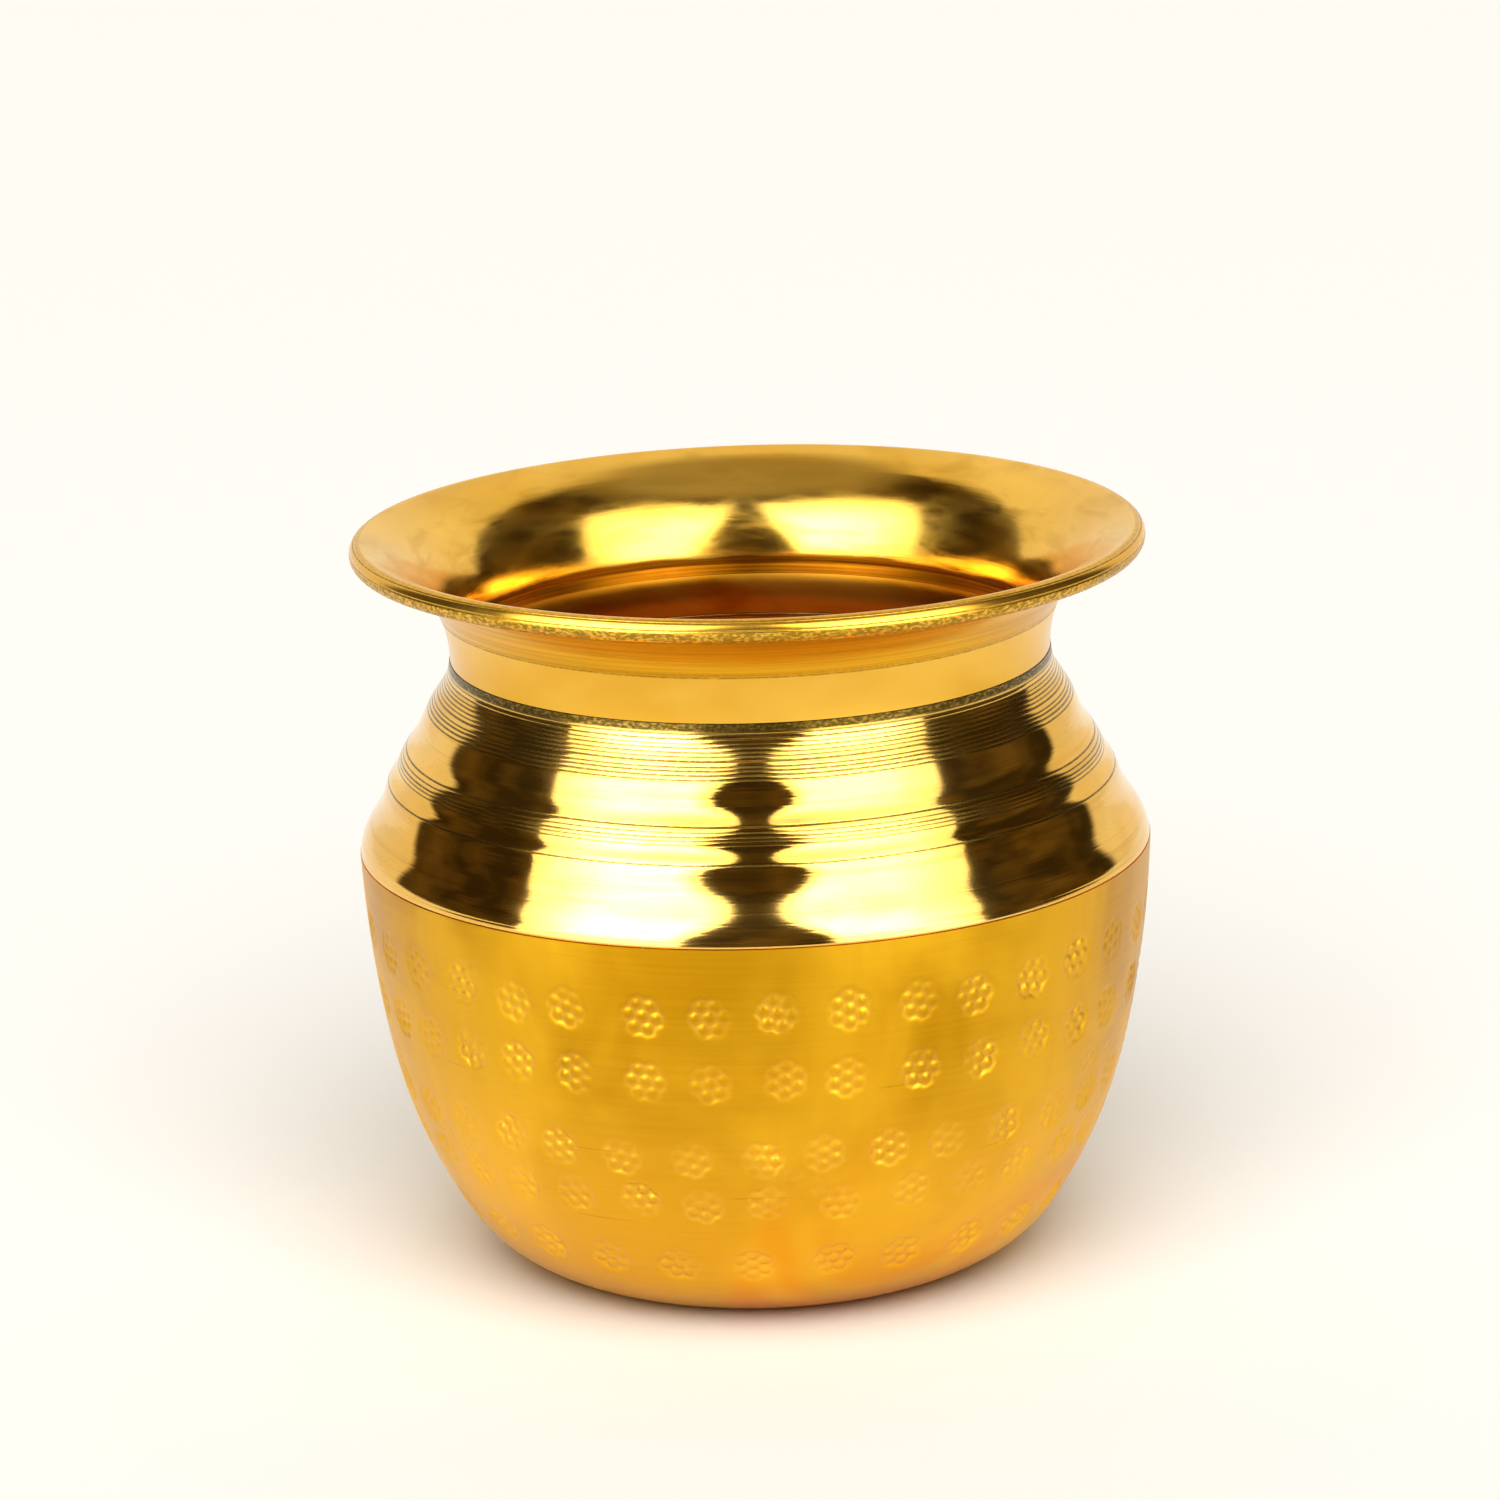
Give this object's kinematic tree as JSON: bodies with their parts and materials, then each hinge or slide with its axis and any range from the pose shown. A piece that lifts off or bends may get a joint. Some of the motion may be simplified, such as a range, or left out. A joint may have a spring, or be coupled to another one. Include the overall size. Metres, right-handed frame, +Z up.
{
  "type": "brass kalash pot",
  "caption": "Round brass water pot with a punched matte bowl, a turned polished shoulder, a narrow throat and a flared mouth with a curled rim.",
  "frame": {"origin": "centre of the flat base, where the pot stands", "axes": "+Z up along the axis the pot was turned on, from the base to the mouth"},
  "size_m": [0.125, 0.125, 0.1173],
  "materials": {
    "matte_brass": "pickled and matte, hand punched",
    "polished_brass": "turned and polished bright, with fine lathe grooves",
    "satin_brass": "satin, with turning marks",
    "braze_metal": "rough as cast, dull"
  },
  "bodies": {
    "root": {"bowl": "matte_brass", "shoulder": "polished_brass", "neck": "satin_brass", "rim_wire": "satin_brass", "belly_braze": "braze_metal", "neck_braze": "braze_metal"}
  },
  "joints": []
}
